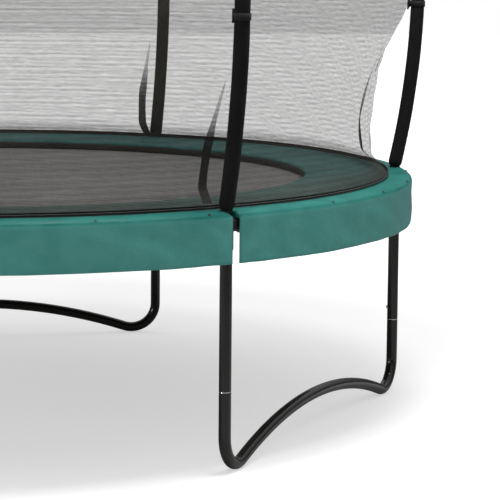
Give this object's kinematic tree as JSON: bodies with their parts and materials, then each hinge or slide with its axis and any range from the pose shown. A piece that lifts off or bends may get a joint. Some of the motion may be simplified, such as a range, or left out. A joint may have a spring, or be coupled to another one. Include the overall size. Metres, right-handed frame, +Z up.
{
  "type": "trampoline",
  "caption": "Round backyard trampoline with a sprung woven mat, padded edge, bent tube legs and a tall enclosure net held by curved foam-covered poles.",
  "frame": {"origin": "on the ground, at the centre of the bounding box's base, which is the vertical axis through the middle of the mat", "axes": "+Z up; -Y towards the zipped entrance in the net; +X through one of the six legs"},
  "size_m": [3.1954, 3.0698, 2.4963],
  "materials": {
    "frame_tube": "gloss",
    "tee_steel": "satin",
    "pole_tube": "satin",
    "foam_sleeve": "matte",
    "net": "matte",
    "zinc": "satin",
    "black_plastic": "matte",
    "mat_weave": "satin",
    "black_webbing": "matte",
    "spring_steel": "satin",
    "green_pvc": "satin",
    "dart_cloth": "matte",
    "zip_metal": "satin"
  },
  "bodies": {
    "frame": {"top_rail_1": "frame_tube", "top_rail_2": "frame_tube", "top_rail_3": "frame_tube", "top_rail_4": "frame_tube", "top_rail_5": "frame_tube", "top_rail_6": "frame_tube", "tee_joint_1": "tee_steel", "tee_joint_2": "tee_steel", "tee_joint_3": "tee_steel", "tee_joint_4": "tee_steel", "tee_joint_5": "tee_steel", "tee_joint_6": "tee_steel", "leg_upper_1": "frame_tube", "leg_upper_2": "frame_tube", "leg_upper_3": "frame_tube", "leg_upper_4": "frame_tube", "leg_upper_5": "frame_tube", "leg_upper_6": "frame_tube", "leg_base_1": "frame_tube", "leg_base_2": "frame_tube", "leg_base_3": "frame_tube", "frame_screws": "zinc", "pole_lower_1": "pole_tube", "pole_lower_2": "pole_tube", "pole_lower_3": "pole_tube", "pole_lower_4": "pole_tube", "pole_lower_5": "pole_tube", "pole_lower_6": "pole_tube", "pole_upper_1": "pole_tube", "pole_upper_2": "pole_tube", "pole_upper_3": "pole_tube", "pole_upper_4": "pole_tube", "pole_upper_5": "pole_tube", "pole_upper_6": "pole_tube", "pole_sleeve_1": "foam_sleeve", "pole_sleeve_2": "foam_sleeve", "pole_sleeve_3": "foam_sleeve", "pole_sleeve_4": "foam_sleeve", "pole_sleeve_5": "foam_sleeve", "pole_sleeve_6": "foam_sleeve", "pole_caps": "black_plastic", "safety_pad": "green_pvc", "net_panel_1": "net", "net_panel_2": "net", "net_panel_3": "net", "net_panel_4": "net", "net_panel_5": "net", "net_panel_6": "net", "net_hem": "black_webbing", "net_top_band": "black_webbing", "net_darts": "dart_cloth", "net_straps": "black_webbing", "zip_tape": "black_webbing"},
    "mat": {"mat": "mat_weave", "mat_band": "black_webbing", "v_rings": "zinc", "springs": "spring_steel"},
    "zip_slider": {"zip_slider": "zip_metal"},
    "zip_pull": {"zip_pull": "zip_metal"}
  },
  "joints": [
    {"name": "mat_bounce", "type": "slide", "parent": "frame", "child": "mat", "axis": [0, 0, 1], "range_m": [-0.25, 0], "stiffness_N_per_m": 6000, "springref_m": 0.04, "deforming": ["springs"]},
    {"name": "zip_slide", "type": "slide", "parent": "frame", "child": "zip_slider", "axis": [0, 0.0847, 0.9964], "range_m": [0, 1.33]},
    {"name": "pull_swing", "type": "hinge", "parent": "zip_slider", "child": "zip_pull", "pos_m": [0, -1.43781, 0.936], "axis": [1, 0, 0], "range_deg": [-110, 0]}
  ]
}
